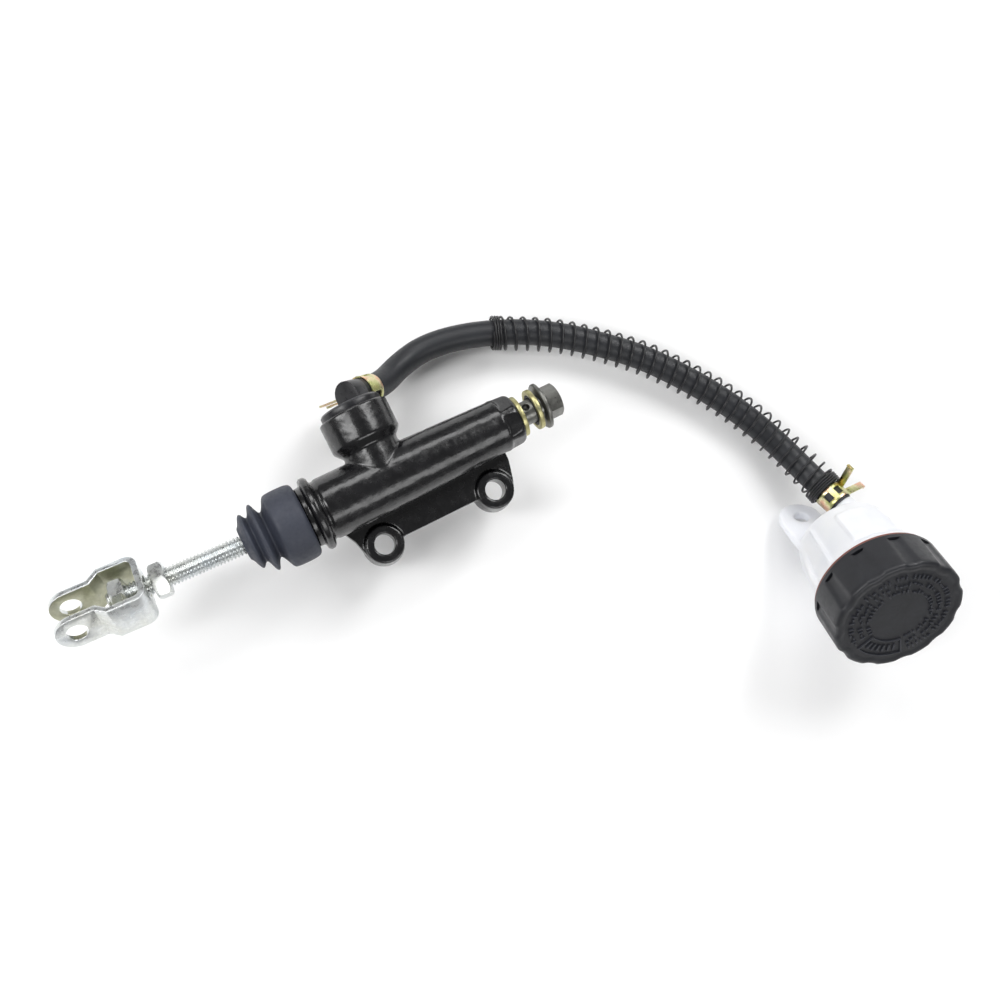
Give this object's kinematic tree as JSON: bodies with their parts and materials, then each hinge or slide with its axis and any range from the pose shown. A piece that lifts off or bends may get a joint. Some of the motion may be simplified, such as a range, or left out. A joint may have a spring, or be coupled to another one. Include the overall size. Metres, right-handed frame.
{
  "type": "brake master cylinder",
  "caption": "Cast rear brake master cylinder with push rod, clevis, dust boot, banjo bolt, hose in a guard spring, and a remote plastic reservoir.",
  "frame": {"origin": "centre of the two mounting holes, on the mounting face", "axes": "+X along the cylinder bore towards the banjo bolt, +Y from the mounting holes towards the feed boss, +Z along the mounting holes away from the mounting face"},
  "size_m": [0.3258, 0.2114, 0.0758],
  "materials": {
    "painted_casting": "gloss black over a cast surface",
    "anodised_aluminium": "fine turned",
    "seal_rubber": "satin",
    "spring_steel": "drawn wire",
    "zinc_plate": "bright zinc plate with worn edges",
    "passivated_gold": "yellow passivated, iridescent",
    "dark_zinc": "dark plated, slightly shiny",
    "boot_rubber": "matte blue-grey",
    "hose_rubber": "matte, finely grained",
    "black_spring": "black coated wire, satin",
    "elbow_plastic": "moulded, half gloss",
    "milky_plastic": "translucent milky white",
    "brown_rubber": "matte reddish brown",
    "cap_plastic": "fine spark texture"
  },
  "bodies": {
    "housing": {"cylinder_body": "painted_casting", "stop_washer": "zinc_plate", "rod_circlip": "spring_steel", "return_spring": "spring_steel", "dust_boot": "boot_rubber", "inner_seal_washer": "passivated_gold", "inner_seal_lip": "seal_rubber", "hose_elbow": "elbow_plastic", "elbow_o_ring": "seal_rubber", "elbow_circlip": "spring_steel", "lower_hose_clip": "passivated_gold", "feed_hose": "hose_rubber", "guard_spring": "black_spring", "upper_hose_clip": "passivated_gold", "reservoir_body": "milky_plastic"},
    "piston_group": {"piston": "anodised_aluminium", "primary_cup": "seal_rubber", "secondary_cup": "seal_rubber", "spring_seat": "spring_steel", "push_rod": "zinc_plate"},
    "lock_nut_slide": {"lock_nut": "zinc_plate"},
    "clevis_body": {"clevis": "zinc_plate", "clevis_nut": "zinc_plate"},
    "outer_washer_slide": {"outer_seal_washer": "passivated_gold", "outer_seal_lip": "seal_rubber"},
    "bolt_body": {"banjo_bolt": "dark_zinc"},
    "cap_slide": {"cap_seal_ring": "brown_rubber", "reservoir_diaphragm": "seal_rubber", "diaphragm_plate": "elbow_plastic"},
    "cap_body": {"reservoir_cap": "cap_plastic"}
  },
  "joints": [
    {"name": "piston_stroke", "type": "slide", "parent": "housing", "child": "piston_group", "axis": [1, 0, 0], "range_m": [0, 0.012], "stiffness_N_per_m": 1500, "springref_m": -0.008, "deforming": ["return_spring", "dust_boot"]},
    {"name": "clevis_advance", "type": "slide", "parent": "piston_group", "child": "lock_nut_slide", "axis": [0.9992, -0.041, 0], "range_m": [-0.00141, 0.00141]},
    {"name": "clevis_turn", "type": "hinge", "parent": "lock_nut_slide", "child": "clevis_body", "pos_m": [-0.11643, 0.02521, 0.019], "axis": [0.9992, -0.041, 0], "range_deg": [-360, 360]},
    {"name": "bolt_advance", "type": "slide", "parent": "housing", "child": "outer_washer_slide", "axis": [1, 0, 0], "range_m": [-0.0025, 0.0025]},
    {"name": "bolt_turn", "type": "hinge", "parent": "outer_washer_slide", "child": "bolt_body", "pos_m": [0.048, 0.022, 0.019], "axis": [1, 0, 0], "range_deg": [-720, 720]},
    {"name": "cap_lift", "type": "slide", "parent": "housing", "child": "cap_slide", "axis": [-0.224, -0.6309, 0.7429], "range_m": [0, 0.006]},
    {"name": "cap_turn", "type": "hinge", "parent": "cap_slide", "child": "cap_body", "pos_m": [0.1435, -0.118, 0.04], "axis": [-0.224, -0.6309, 0.7429], "range_deg": [0, 720]}
  ],
  "couplings": [
    {"joint": "clevis_turn", "follows": "clevis_advance", "rad_per_m": 4453},
    {"joint": "bolt_turn", "follows": "bolt_advance", "rad_per_m": 5026.5},
    {"joint": "cap_turn", "follows": "cap_lift", "rad_per_m": 2094.4}
  ]
}
